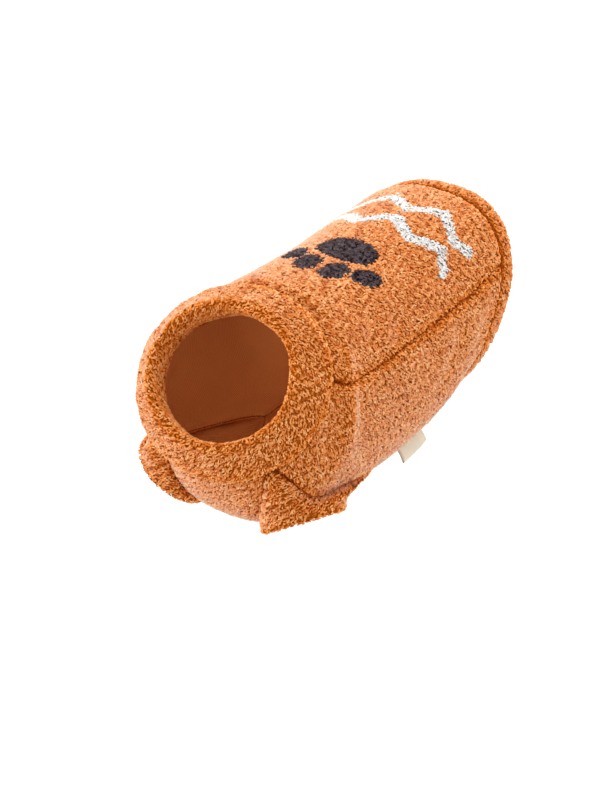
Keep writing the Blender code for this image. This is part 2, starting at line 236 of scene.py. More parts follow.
wave_ways = unit(chance.normal(size=(WAVES, 3)))
wave_turns = 2 * np.pi / chance.uniform(*WAVE_LENGTHS, WAVES)
wave_starts = chance.uniform(0, 2 * np.pi, WAVES)


def unevenness(points):
    """A sum of sines in fixed directions: slow, shallow swells of the cloth."""
    phases = (points @ wave_ways.T) * wave_turns + wave_starts
    return WAVE_HEIGHT * np.sin(phases).sum(axis=-1) / np.sqrt(WAVES)


print("folds on the two sides:", len(fold_lines()))

# %% [markdown]
# ## A wall from one grid
#
# Cloth has two faces and an edge all round. So a piece is a grid of points for the face that carries the
# pile, the same grid moved back by the cloth's thickness, and a strip that joins their rims. That makes
# one closed skin with a real edge. A Solidify modifier could do it too, but then the pile and the seams
# couldn't use the exact points of both faces. Whole arrays go to Blender at once, since a Python loop over
# points would be slow.

# %% Grids to meshes
GROUND = 1.2  # mm: the knitted ground without its pile


def grid_slopes(grid, around):
    """Differences between neighbours along each row and along each column of a grid."""
    if around:
        across = np.roll(grid, -1, axis=1) - np.roll(grid, 1, axis=1)
    else:
        across = np.gradient(grid, axis=1)
    return across, np.gradient(grid, axis=0)


def grid_normals(grid, around):
    """Normals of a grid: the slope along a row crossed with the slope along a column."""
    across, ahead = grid_slopes(grid, around)
    return unit(np.cross(across, ahead))


def grid_faces(rows, columns, around):
    """Four corners for each cell of a grid of points; around joins the last column to the first."""
    row = np.arange(rows - 1)[:, None]
    column = np.arange(columns if around else columns - 1)[None, :]
    following = (column + 1) % columns
    corners = [row * columns + column, row * columns + following]
    corners += [(row + 1) * columns + following, (row + 1) * columns + column]
    return np.stack(np.broadcast_arrays(*corners), axis=-1).reshape(-1, 4)


def rim_faces(rows, columns, around):
    """The strip round a grid's edge, to an equal grid that is stored after it."""
    index = np.arange(rows * columns).reshape(rows, columns)
    rims = [index[0], index[-1, ::-1]]
    if not around:
        rims = [np.concatenate([index[0, :-1], index[:-1, -1], index[-1, :0:-1], index[:0:-1, 0]])]
    following = np.concatenate([np.roll(rim, -1) for rim in rims])
    rim = np.concatenate(rims)
    return np.stack([following, rim, rim + index.size, following + index.size], axis=-1)


def add_mesh(name, points, faces, material):
    """A mesh from arrays, its points in millimetres; all its faces have the same number of corners."""
    mesh = bpy.data.meshes.new(name)
    mesh.vertices.add(len(points))
    mesh.vertices.foreach_set("co", (points * MM).astype(np.float32).ravel())
    mesh.loops.add(faces.size)
    mesh.loops.foreach_set("vertex_index", faces.astype(np.int32).ravel())
    mesh.polygons.add(len(faces))
    mesh.polygons.foreach_set("loop_start", np.arange(0, faces.size, faces.shape[1], dtype=np.int32))
    mesh.update(calc_edges=True)
    mesh.shade_smooth()
    mesh.materials.append(material)
    piece = bpy.data.objects.new(name, mesh)
    bpy.context.scene.collection.objects.link(piece)
    return piece


def set_map(piece, name, places):
    """A UV map, from one pair of numbers for each corner of each face."""
    piece.data.uv_layers.new(name=name).uv.foreach_set("vector", places.astype(np.float32).ravel())


def set_numbers(piece, name, values):
    """A number on each point, for the material's nodes to read by this name."""
    layer = piece.data.attributes.new(name, "FLOAT", "POINT")
    layer.data.foreach_set("value", values.astype(np.float32).ravel())


def lengths_along(points, axis):
    """How far each point is from the start of its row or column, measured along it."""
    steps = np.linalg.norm(np.diff(points, axis=axis), axis=-1)
    start = np.zeros_like(np.take(steps, [0], axis))
    return np.concatenate([start, np.cumsum(steps, axis=axis)], axis=axis)


def add_wall(name, face, material, around=False, thickness=GROUND):
    """A sewn piece's ground: the face that carries the pile, its back, and the strip round its edge."""
    rows, columns = face.shape[:2]
    back = face - grid_normals(face, around) * thickness
    front_faces = grid_faces(rows, columns, around)
    back_faces = front_faces[:, ::-1] + rows * columns
    faces = np.concatenate([front_faces, back_faces, rim_faces(rows, columns, around)])
    piece = add_mesh(name, np.concatenate([face.reshape(-1, 3), back.reshape(-1, 3)]), faces, material)
    flat = np.stack([lengths_along(face, 1), lengths_along(face, 0)], axis=-1).reshape(-1, 2) * MM
    set_map(piece, "cloth", np.concatenate([flat, flat])[faces.ravel()])
    return piece


def face_area(face, around):
    """The area of a grid: half the cross product of each cell's diagonals, in square millimetres."""
    whole = np.concatenate([face, face[:, :1]], axis=1) if around else face
    diagonals = whole[1:, 1:] - whole[:-1, :-1], whole[1:, :-1] - whole[:-1, 1:]
    return np.linalg.norm(np.cross(*diagonals), axis=-1) / 2

# %% [markdown]
# ## Materials
#
# The yarn of a looped-pile knit is a soft, matt polyester bouclé. Light goes round and through its fine
# fibres, so its edges look pale: that is what the sheen gives. Deep in the pile, where light has bounced
# from yarn to yarn, it looks darker and more saturated, and that shade is painted into its colour. Each
# curl carries three numbers made with its shape: one for that painted shade, 0 at its roots and 1 at its
# top, `dye`, a random shade, and `haze`, how much sheen it can show. Curls in creases and seams show none.
# The nodes read the numbers by name.

# %% Colours and a helper for nodes


def linear(text):
    """An sRGB hex colour as the four linear numbers that shaders use, the last one for its alpha."""
    value = np.array([int(text[k : k + 2], 16) for k in (1, 3, 5)]) / 255
    value = np.where(value <= 0.04045, value / 12.92, ((value + 0.055) / 1.055) ** 2.4)
    return (*value.tolist(), 1.0)


def add_node(tree, kind, links=(), **settings):
    """A shader node with its settings. A key with a number or a name is a socket, any other a property."""
    node = tree.nodes.new(kind)
    for key, value in settings.items():
        if key.startswith("in_"):
            socket = int(key[3:]) if key[3:].isdigit() else key[3:].replace("_", " ")
            node.inputs[socket].default_value = value
        else:
            setattr(node, key, value)
    for socket, source in dict(links).items():
        tree.links.new(source, node.inputs[socket])
    return node


def new_material(name, roughness, sheen, sheen_roughness, sheen_tint, specular):
    """A Principled material: its even values sit on the shader's own sockets."""
    material = bpy.data.materials.new(name)
    material.use_nodes = True
    shader = material.node_tree.nodes["Principled BSDF"]
    shader.inputs["Roughness"].default_value = roughness
    shader.inputs["Sheen Weight"].default_value = sheen
    shader.inputs["Sheen Roughness"].default_value = sheen_roughness
    shader.inputs["Sheen Tint"].default_value = linear(sheen_tint)
    shader.inputs["Specular IOR Level"].default_value = specular
    return material, shader


# The yarn's ramp runs from painted shade at a curl's roots to a painted highlight on its top.
YARN_ROUGHNESS, YARN_SPECULAR, SHEEN_ROUGHNESS = 0.9, 0.15, 0.47
YARN_STOPS = (0.0, 0.45, 0.8, 1.0)  # where its four shades lie on the ramp
RISE_FROM, RISE_SHARE = -0.42, 1.15  # the ramp's place at a curl's root, and how far its top is from there
DYE_SHARE, PATCH_SHARE = 0.25, 0.25  # how far a curl's dye and its place can move it up the ramp
FIBRE = 0.35  # mm: fibres are finer, drawn this coarse so that they show at all
FIBRE_BUMP, FIBRE_HEIGHT = 0.5, 0.2  # strength, and height in mm
SHADE_PATCH = 22.0  # mm: slow changes of shade from one part of the cloth to the next


def boucle(name, deep, middle, light, pale, haze_colour, sheen):
    """A ramp up each curl from the deep shade, painted shade at its roots, to the palest, a painted highlight
    on its top, varied from curl to curl, and a pale sheen.
    """
    material, shader = new_material(name, YARN_ROUGHNESS, sheen, SHEEN_ROUGHNESS, haze_colour, YARN_SPECULAR)
    tree = material.node_tree
    place = add_node(tree, "ShaderNodeTexCoord").outputs["Object"]
    # Painted shade, deep at a curl's roots and on low curls, comes first; the dye is a random shade.
    pile_shading, dye, haze = (
        add_node(tree, "ShaderNodeAttribute", attribute_name=number).outputs["Fac"]
        for number in ("pile_shading", "dye", "haze")
    )
    patch = add_node(tree, "ShaderNodeTexNoise", {"Vector": place}, in_Scale=1 / (SHADE_PATCH * MM))
    up = add_node(tree, "ShaderNodeMath", {0: pile_shading}, operation="MULTIPLY_ADD", in_1=RISE_SHARE,
                  in_2=RISE_FROM)
    tint = add_node(tree, "ShaderNodeMath", {0: dye, 2: up.outputs[0]}, operation="MULTIPLY_ADD",
                    in_1=DYE_SHARE)
    slow = add_node(tree, "ShaderNodeMath", {0: patch.outputs["Fac"], 2: tint.outputs[0]},
                    operation="MULTIPLY_ADD", in_1=PATCH_SHARE)
    ramp = add_node(tree, "ShaderNodeValToRGB", {"Fac": slow.outputs[0]})
    stops = ramp.color_ramp.elements
    shades = stops[0], stops.new(0.5), stops.new(0.7), stops[-1]
    for shade, position, colour in zip(shades, YARN_STOPS, (deep, middle, light, pale)):
        shade.position, shade.color = position, linear(colour)
    fibres = add_node(tree, "ShaderNodeTexNoise", {"Vector": place}, in_Scale=1 / (FIBRE * MM), in_Detail=1.0)
    bump = add_node(tree, "ShaderNodeBump", {"Height": fibres.outputs["Fac"]}, in_Strength=FIBRE_BUMP,
                    in_Distance=FIBRE_HEIGHT * MM)
    fuzz = add_node(tree, "ShaderNodeMath", {0: haze}, operation="MULTIPLY", in_1=sheen, use_clamp=True)
    tree.links.new(fuzz.outputs[0], shader.inputs["Sheen Weight"])
    tree.links.new(ramp.outputs["Color"], shader.inputs["Base Color"])
    tree.links.new(bump.outputs["Normal"], shader.inputs["Normal"])
    return material


YARNS = {
    # deep, middle, light and palest shade, from painted shade at the roots to a painted highlight on top, the
    # sheen's colour and its weight
    "orange": ("#963A00", "#DC7220", "#FC9C4C", "#FFC486", "#FFF8EE", 1.5),
    "charcoal": ("#0C0708", "#2C2124", "#544649", "#645659", "#B8A8AC", 0.2),
    "white": ("#B8B2AA", "#E4E1DC", "#F8F6F3", "#FBFAF8", "#FFFFFF", 0.4),
}
orange_yarn, dark_yarn, white_yarn = (
    boucle(dyed + " polyester boucle yarn", *shades) for dyed, shades in YARNS.items()
)

# %% [markdown]
# The ground is a fine jersey. Its stitches are V-shaped, in upright columns called wales, and they show
# inside the garment, where there is no pile. The pattern is drawn on the piece's own map, which is in
# metres along the cloth, so that the columns follow each piece as it bends; it is painted darker where the
# stitches are low, as painted shade in their hollows. On the other face the pile's roots cover it. There
# the colour is a deep shade of the yarn, painted shade for the dark among the roots, and a colour
# attribute holds it: its alpha is 1 there.

# %% Knitted ground
WALE, COURSE = 2.0, 1.6  # mm: width of a column of stitches, height of a row
STITCH_CLIMB = 1.6  # courses that a stripe climbs across one wale
STITCH_HEIGHT = 6.0  # how much a column's round counts beside its stripes
STITCH_RANGE = (-1.0, 2.0)  # the heights that are the deep and the light shade
JERSEY_BUMP, JERSEY_RELIEF = 0.6, 0.25  # strength, and height in mm


def jersey(name, deep, light):
    """V stitches: stripes whose phase climbs with the distance from the column's middle, painted darker where
    they are low, as shade in their hollows.
    """
    material, shader = new_material(name, roughness=0.9, sheen=0.0, sheen_roughness=0.5,
                                    sheen_tint="#FFD9B8", specular=0.05)
    tree = material.node_tree
    across = add_node(tree, "ShaderNodeUVMap", uv_map="cloth").outputs["UV"]
    parts = add_node(tree, "ShaderNodeSeparateXYZ", {0: across})
    wales = add_node(tree, "ShaderNodeMath", {0: parts.outputs[0]}, operation="DIVIDE", in_1=WALE * MM)
    courses = add_node(tree, "ShaderNodeMath", {0: parts.outputs[1]}, operation="DIVIDE", in_1=COURSE * MM)
    off = add_node(tree, "ShaderNodeMath", {0: wales.outputs[0]}, operation="PINGPONG", in_1=0.5)
    climb = add_node(tree, "ShaderNodeMath", {0: off.outputs[0], 2: courses.outputs[0]},
                     operation="MULTIPLY_ADD", in_1=STITCH_CLIMB)
    turn = add_node(tree, "ShaderNodeMath", {0: climb.outputs[0]}, operation="MULTIPLY", in_1=2 * np.pi)
    stripe = add_node(tree, "ShaderNodeMath", {0: turn.outputs[0]}, operation="SINE")
    column = add_node(tree, "ShaderNodeMath", {0: off.outputs[0]}, operation="PINGPONG", in_1=0.25)
    height = add_node(tree, "ShaderNodeMath", {0: column.outputs[0], 2: stripe.outputs[0]},
                      operation="MULTIPLY_ADD", in_1=STITCH_HEIGHT)
    shade = add_node(tree, "ShaderNodeMapRange", {"Value": height.outputs[0]}, in_From_Min=STITCH_RANGE[0],
                     in_From_Max=STITCH_RANGE[1])
    # The ramp paints the stitches' low places darker: painted shade in their hollows, at the heights the bump
    # raises.
    ramp = add_node(tree, "ShaderNodeValToRGB", {"Fac": shade.outputs[0]})
    ramp.color_ramp.elements[0].color = linear(deep)
    ramp.color_ramp.elements[1].color = linear(light)
    bump = add_node(tree, "ShaderNodeBump", {"Height": height.outputs[0]}, in_Strength=JERSEY_BUMP,
                    in_Distance=JERSEY_RELIEF * MM)
    # The face under the pile takes a painted shade of the yarn, for the shade among its roots.
    root_shade = add_node(tree, "ShaderNodeAttribute", attribute_name="root_shade")
    both = add_node(tree, "ShaderNodeMix", {0: root_shade.outputs["Alpha"], 6: ramp.outputs[0], 7: root_shade.outputs[0]},
                    data_type="RGBA")
    tree.links.new(both.outputs[2], shader.inputs["Base Color"])
    tree.links.new(bump.outputs["Normal"], shader.inputs["Normal"])
    return material


# Painted shade among the pile's roots: a deep shade of each yarn, for the face under the pile.
ROOT_SHADES = {"orange": "#C0600E", "charcoal": "#130D0E", "white": "#A8A29A"}


def set_root_shade(piece, face, yarns=0):
    """Painted shade for the pile's roots, by the yarns' places in the table of root shades, on the face's
    points; the points of its back have none.
    """
    colours = np.array([linear(text) for text in ROOT_SHADES.values()])
    front = colours[np.broadcast_to(yarns, face.shape[:2])].reshape(-1, 4)
    layer = piece.data.color_attributes.new("root_shade", "FLOAT_COLOR", "POINT")
    layer.data.foreach_set("color", np.concatenate([front, front * (1, 1, 1, 0)]).astype(np.float32).ravel())


orange_ground = jersey("orange knitted ground", "#B85E22", "#EC9C58")
print("materials:", ", ".join(m.name for m in bpy.data.materials))

# %% [markdown]
# The side tag is a woven tape of fine polyester threads, cream and slightly shiny. A weave of two sets of
# waves, one along and one across, is drawn twice as coarse as real threads so that it shows.

# %% Woven tape
THREAD = 0.5  # mm between the tape's threads
TAPE_BUMP, TAPE_RELIEF = 0.5, 0.1  # strength, and height in mm


def tape(name, deep, light):
    """A plain weave: two sine waves multiplied, painted dark where both dip, as shade in the weave's hollows.
    """
    material, shader = new_material(name, roughness=0.7, sheen=0.2, sheen_roughness=0.3,
                                    sheen_tint="#FFF6E8", specular=0.4)
    tree = material.node_tree
    flat = add_node(tree, "ShaderNodeUVMap", uv_map="cloth").outputs["UV"]
    turned = add_node(tree, "ShaderNodeMapping", {"Vector": flat}, in_Scale=(2 * np.pi / (THREAD * MM),) * 3)
    parts = add_node(tree, "ShaderNodeSeparateXYZ", {0: turned.outputs[0]})
    along = add_node(tree, "ShaderNodeMath", {0: parts.outputs[0]}, operation="SINE")
    over = add_node(tree, "ShaderNodeMath", {0: parts.outputs[1]}, operation="SINE")
    weave = add_node(tree, "ShaderNodeMath", {0: along.outputs[0], 1: over.outputs[0]}, operation="MULTIPLY")
    shade = add_node(tree, "ShaderNodeMapRange", {"Value": weave.outputs[0]}, in_From_Min=-1.0)
    # Painted shade where the weave dips, at the heights the bump raises.
    ramp = add_node(tree, "ShaderNodeValToRGB", {"Fac": shade.outputs[0]})
    ramp.color_ramp.elements[0].color = linear(deep)
    ramp.color_ramp.elements[1].color = linear(light)
    bump = add_node(tree, "ShaderNodeBump", {"Height": weave.outputs[0]}, in_Strength=TAPE_BUMP,
                    in_Distance=TAPE_RELIEF * MM)
    tree.links.new(ramp.outputs["Color"], shader.inputs["Base Color"])
    tree.links.new(bump.outputs["Normal"], shader.inputs["Normal"])
    return material


woven_tape = tape("cream woven polyester tape", "#CDBFA6", "#EFE5D2")

# %% [markdown]
# ## The panels' ground
#
# Each body panel lies between two seam lines. The pile on the real cloth is about 2.4 mm deep, so the
# ground's face lies that far under the surface that the curls reach. Near a seam the cloth rolls down: a
# quarter circle takes it 4.8 mm deeper over the last 8 mm, where the seam allowance stands inside. Over
# the chest it is much less, because the cloth is pulled flat there.

# %% Back, sides and belly
PILE = 2.4
SEAM_GAP = 0.1
SEAM_ROLL = 8.0
SEAM_SINK = 4.8
SEAM_STEPS = (0, 0.12, 0.28, 0.5, 0.75, 1.0)
FLAT_FROM, FLAT_FRONT = 5.9, 0.7  # seams get shallower from this station on, by this share at most
GRID_STEP = 4.0
STATION_LENGTH = 45.0
ARM_POINTS = 36


def seam_spaced(length):
    """Places from 0 to 1 across a panel, closer together where it rolls into its seams."""
    near = np.array(SEAM_STEPS) * SEAM_ROLL / length
    middle = np.linspace(near[-1], 1 - near[-1], round((length - 2 * SEAM_ROLL) / GRID_STEP) + 1)
    return np.concatenate([near[:-1], middle, 1 - near[-2::-1]])


def armhole_stations(turns):
    """Stations round the armhole: the throat end at a turn of 0, the rear end at half a turn."""
    return (ARM_REAR + ARM_FRONT) / 2 + np.cos(turns) * (ARM_FRONT - ARM_REAR) / 2


def panel_stations():
    """Rows of a panel: close together at the hem, then even, then the armhole's own points beside it."""
    first = HEM_SEAM + SEAM_GAP / STATION_LENGTH
    near_hem = first + np.array(SEAM_STEPS) * SEAM_ROLL / STATION_LENGTH
    behind = np.linspace(near_hem[-1], ARM_REAR, round((ARM_REAR - first) * STATION_LENGTH / GRID_STEP))
    beside = armhole_stations(np.linspace(np.pi, 0, ARM_POINTS + 1))
    return np.concatenate([near_hem[:-1], behind[:-1], beside, [(ARM_FRONT + COLLAR_SEAM) / 2, COLLAR_SEAM]])


def half_gap(station):
    """Half a seam's gap, as an angle round the body."""
    return np.degrees(SEAM_GAP / 2 / section_values(station)["half_width"])


def seam_sink(distance, station):
    """A quarter round: deepest at the seam, none from SEAM_ROLL on, and shallow over the chest."""
    part = np.clip(1 - distance / SEAM_ROLL, 0, 1)
    front = np.clip((station - FLAT_FROM) / (ARM_FRONT - FLAT_FROM), 0, 1)
    return SEAM_SINK * (1 - FLAT_FRONT * front) * (1 - np.sqrt(1 - part**2))


def panel_face(low_angle, high_angle, width):
    """The face of a panel's ground: rows from the hem towards the neck, columns up across it."""
    station = panel_stations()[:, None]
    trim = half_gap(station)
    low, high = low_angle(station) + trim, high_angle(station) - trim
    angle = low + (high - low) * seam_spaced(width)[None, :]
    station = np.broadcast_to(station, angle.shape)
    surface = body_point(station, angle)
    across = lengths_along(surface, 1)
    to_side = np.minimum(across, across[:, -1:] - across)
    sink = seam_sink(np.minimum(to_side, lengths_along(surface, 0)), station)
    depth = PILE + sink + fold_depth(surface) + unevenness(surface)
    return surface + inward(station, angle) * depth[..., None]


PANELS = {
    "back_panel": (back_seam_angle, mirrored(back_seam_angle), 185.0),
    "side_left": (side_low_angle, back_seam_angle, 95.0),
    "side_right": (mirrored(back_seam_angle), mirrored(side_low_angle), 95.0),
    "belly_panel": (lambda station: -180 - belly_edge_angle(station), belly_edge_angle, 115.0),
}
faces, grounds = {}, {}


def add_ground(node, face, around=False):
    """A node's ground, kept with its face for the pile that comes later."""
    faces[node] = face
    grounds[node] = add_wall(node + "_ground", face, orange_ground, around)
    print(node, "is cut to", round(face_area(face, around).sum() / 100), "square centimetres")


for node, (low, high, width) in PANELS.items():
    add_ground(node, panel_face(low, high, width))

# %% [markdown]
# ## The sleeves' ground
#
# A sleeve starts at a long pointed oval and ends in a round cuff. A cubic curve from each point of the
# armhole to its point on the cuff leaves square to the cloth and arrives along the leg, which gives the
# soft swell under a sleeve's seam. The cuff is turned in: the cloth goes round half a circle and a little
# way back up inside, so the pile shows on both sides of its edge.

# %% Sleeves
CUFF_CENTRE = np.array((60.0, -114.0, -142.0))
CUFF_AXIS = unit(np.array((0.52, -0.23, -0.82)))
CUFF_RADIUS = 34.0
CUFF_TURNED = 0.3  # how far the cloth goes back up inside, as a part of the sleeve's length there
CUFF_MOST = 8.0  # and at most
CUFF_FOLD = 1.7  # radius of the fold
CUFF_REACH = 1.4  # the fold's middle lies this far short of the cuff's plane
SLEEVE_PUFF = 0.5
SLEEVE_BARREL = 4.5  # how far it bulges between seam and cuff, outside
BARREL_REACH = (20.0, 50.0)  # mm from seam to cuff: no bulge at the first length, the whole at the second
SLEEVE_TUCK = 2.5  # how far it draws in between the legs
OUTER_FROM, INNER_FROM = -0.5, 0.2  # heights round the arm from which it bulges, and below which it draws in
BARREL_LOW = 1.4  # above 1, the bulge is nearer to the cuff than to the seam
SLEEVE_WAVES = 2.0  # how much waves are stronger here than on the body
TURNED_SLANT = 0.45  # how fast the turned part leaves the wall
SLEEVE_ROWS, FOLD_ROWS, TURNED_ROWS = 18, 5, 5
TIP_TURN = 0.06


def hermite(start, leave, end, arrive, part):
    """The cubic from start to end with these slopes at its two ends, at each part of the way."""
    part = part[:, None, None]
    return (
        start * (2 * part**3 - 3 * part**2 + 1)
        + leave * (part**3 - 2 * part**2 + part)
        + end * (3 * part**2 - 2 * part**3)
        + arrive * (part**3 - part**2)
    )


def sleeve_face(side):
    """The face of a sleeve's ground, with its turned-in cuff: rows from the seam, columns round the arm."""
    turns = np.arange(2 * ARM_POINTS) * np.pi / ARM_POINTS
    station = armhole_stations(turns)
    upper = turns < np.pi
    angle = np.where(upper, side_low_angle(station), belly_edge_angle(station))
    angle = angle + np.where(upper, -1, 1) * half_gap(station)
    tips = [0, ARM_POINTS]
    station[tips] = armhole_stations(np.array([TIP_TURN, np.pi - TIP_TURN]))
    angle[tips] = belly_seam_angle(station[tips])
    root, through = body_point(station, angle), inward(station, angle)
    ahead = np.array([0.0, -1.0, 0.0])
    front = unit(ahead - CUFF_AXIS * np.dot(CUFF_AXIS, ahead))
    spoke = np.cos(turns)[:, None] * front + np.sin(turns)[:, None] * np.cross(front, CUFF_AXIS)
    depth = seam_sink(np.zeros_like(station), station) + PILE + fold_depth(root * side)
    start = root + through * depth[:, None]
    end = CUFF_CENTRE - CUFF_AXIS * CUFF_REACH + spoke * (CUFF_RADIUS - PILE)
    reach = np.linalg.norm(end - start, axis=-1, keepdims=True)
    leave = end - start - through * reach * SLEEVE_PUFF
    parts = np.linspace(0, 1, SLEEVE_ROWS)
    long_enough = np.clip((reach - BARREL_REACH[0]) / np.ptp(BARREL_REACH), 0, 1)
    away = np.clip(np.sin(turns) - OUTER_FROM, 0, 1)[:, None] * long_enough
    between_legs = np.clip(INNER_FROM - np.sin(turns), 0, 1)[:, None]
    bulge = SLEEVE_BARREL * away * np.sin(np.pi * parts**BARREL_LOW)[:, None, None] ** 2
    tuck = SLEEVE_TUCK * between_legs * np.sin(np.pi * parts)[:, None, None] ** 2
    outside = hermite(start, leave, end, CUFF_AXIS * reach, parts) + spoke * (bulge - tuck)
    swell = SLEEVE_WAVES * unevenness(outside * side) * np.sin(np.pi * parts)[:, None] ** 2
    outside = outside - swell[..., None] * spoke
    turn = np.linspace(0, np.pi, FOLD_ROWS + 2)[1:-1, None, None]
    fold = end + spoke * CUFF_FOLD * (np.cos(turn) - 1) + CUFF_AXIS * CUFF_FOLD * np.sin(turn)
    back = np.linspace(0, 1, TURNED_ROWS)[:, None, None] * np.minimum(reach * CUFF_TURNED, CUFF_MOST)
    turned = end - spoke * (2 * CUFF_FOLD + back * TURNED_SLANT) - CUFF_AXIS * back
    face = np.concatenate([outside, fold, turned]) * side
    return face[:, ::-1] if side[0] > 0 else face


for node, side in (("sleeve_left", (1, 1, 1)), ("sleeve_right", (-1, 1, 1))):
    add_ground(node, sleeve_face(np.array(side, float)), around=True)

# %% [markdown]
# ## The collar's ground
#
# The collar is one wide strip, sewn to the neck on its inner edge and folded over outwards, so that its
# free edge lies on the shoulders. Its section is a line of points, out from the seam's ring and up along
# the neck. That line is carried round the slanted ring. A strip like this can't lie quite smooth where
# it goes round a curve, so it gets pinches: each leans, runs down the outside, and fades at its ends.

# %% Collar
COLLAR_LINE = (
    # out, up: from the free edge, turned under, over the top and down inside to the seam
    (1.0, 3.6),
    (2.6, 2.2),
    (4.4, 2.6),
    (4.9, 5.4),
    (3.1, 9.6),
    (-2.1, 15.0),
    (-7.6, 20.8),
    (-11.6, 24.8),
    (-14.4, 26.0),
    (-16.2, 24.0),
    (-17.1, 17.8),
    (-16.5, 9.6),
    (-15.0, 4.4),
    (-11.5, 2.0),
    (-7.0, 1.2),
    (-3.0, 0.9),
)
COLLAR_ROWS, COLLAR_COLUMNS = 30, 144
FINE_STEPS = 24  # places worked out between two points of a line before it is spaced evenly
COLLAR_WAVES = 1.6  # how much waves are stronger here than on the body
PINCH_MIDDLE, PINCH_END = 0.3, 0.62  # parts of the way up: where a pinch is at its turn, and where it ends
COLLAR_PINCHES = (
    # turn in degrees, lean in degrees, half width in degrees, depth in mm
    (-58, 16, 4.5, 2.2),
    (-83, -10, 5.5, 1.4),
    (-30, 12, 5.0, 1.5),
    (-4, -14, 6.0, 1.2),
    (27, 12, 5.0, 1.6),
    (61, -8, 6.5, 1.2),
    (96, 10, 6.0, 1.3),
    (128, -12, 5.0, 1.6),
    (163, 10, 6.0, 1.2),
    (196, -12, 5.0, 1.5),
    (222, 10, 4.5, 1.9),
    (249, -8, 6.0, 1.2),
)


def smooth_line(points, count):
    """A smooth curve through points, at count places that are evenly spaced along it."""
    fine = np.linspace(0, len(points) - 1, FINE_STEPS * len(points))
    curve = smooth_between(np.array(points, float), fine)
    along = lengths_along(curve[:, None], 0)[:, 0]
    even = np.linspace(0, along[-1], count)
    return np.stack([np.interp(even, along, column) for column in curve.T], axis=-1)


def collar_face():
    """The section carried round the ring: centre + cos(turn) sideways + sin(turn) up the slant."""
    row = section_values(np.array(COLLAR_SEAM))
    top = np.array([0, row["top_y"], row["top_z"]])
    low = np.array([0, row["low_y"], row["low_z"]])
    sideways, upward = np.array([1.0, 0, 0]), unit(top - low)
    neckward = np.cross(sideways, upward)
    turn = np.arange(COLLAR_COLUMNS) * 2 * np.pi / COLLAR_COLUMNS
    out, up = smooth_line(COLLAR_LINE, COLLAR_ROWS).T[:, :, None]
    ring = (
        (top + low) / 2
        + (np.cos(turn) * (row["half_width"] + out))[..., None] * sideways
        + (np.sin(turn) * (np.linalg.norm(top - low) / 2 + out))[..., None] * upward
        + (up + 0 * turn)[..., None] * neckward
    )
    part = np.linspace(0, 1, COLLAR_ROWS)[:, None]
    depth = unevenness(ring) * COLLAR_WAVES
    for at, lean, width, deep in COLLAR_PINCHES:
        leaning = lean * (part - PINCH_MIDDLE) / PINCH_MIDDLE
        apart = (np.degrees(turn) - at - leaning + 180) % 360 - 180
        fade = np.sin(np.pi * np.clip(part / PINCH_END, 0, 1))
        depth += deep * np.exp(-((apart / width) ** 2)) * fade
    return ring - grid_normals(ring, True) * depth[..., None]


add_ground("collar", collar_face(), around=True)
print("the collar's strip is", round(lengths_along(faces["collar"], 0)[-1].mean()), "mm wide")

# %% [markdown]
# ## The hem band's ground
#
# A strip folded lengthwise finishes the slanted rear edge. Its fold is the garment's edge. It follows the
# same rings as the body, on past the hem seam, and it ripples a little because nothing holds it there.

# %% Hem band
HEM_LINE = (
    # along from the seam, down from the outer face
    (0.4, 6.0),
    (1.7, 4.1),
    (4.4, 2.7),
    (8.4, 2.4),
    (11.2, 3.3),
    (12.3, 4.9),
    (11.2, 6.5),
    (8.0, 7.0),
    (4.0, 7.1),
    (0.4, 7.6),
)
HEM_WIDTH = 15.0
HEM_WAVES = 1.5  # how much waves are stronger at its edge than on the body
HEM_ROWS, HEM_COLUMNS = 18, 144


def hem_face():
    """Points of the line on the body's rings: station from its first number, depth from its second."""
    angle = -np.arange(HEM_COLUMNS) * 360 / HEM_COLUMNS
    along, down = smooth_line(HEM_LINE, HEM_ROWS).T[:, :, None]
    station, angle = np.broadcast_arrays(HEM_SEAM - along / HEM_WIDTH, angle)
    surface = body_point(station, angle)
    depth = down + HEM_WAVES * unevenness(surface) * along / HEM_WIDTH
    return surface - body_normal(station, angle) * depth[..., None]


add_ground("hem_band", hem_face(), around=True)
print("the hem band's strip is", round(lengths_along(faces["hem_band"], 0)[-1].mean()), "mm wide")

# %% [markdown]
# ## The side tag
#
# A small woven tape, folded in two, is caught in the left side's lower seam. It is bare. Its path goes out,
# round its fold and back in, and it droops a little and waves along its edge, as a soft tape does.

# %% Tag
TAG_STATIONS = (1.9, 2.66)
TAG_REACH = 11.5
TAG_ROOT = 5.6  # how deep it goes into the seam
TAG_LAYERS = 0.62  # each layer's face lies this far from the middle
TAG_TAPE = 0.4  # thickness of the tape
TAG_BEND = 2.0  # how far its free edge droops
TAG_WAVE, TAG_WAVE_TURN = 0.45, 5.2  # height, and how far its wave turns along the edge, in radians
TAG_COLUMNS, TAG_STRAIGHT_ROWS, TAG_FOLD_ROWS = 16, 7, 7


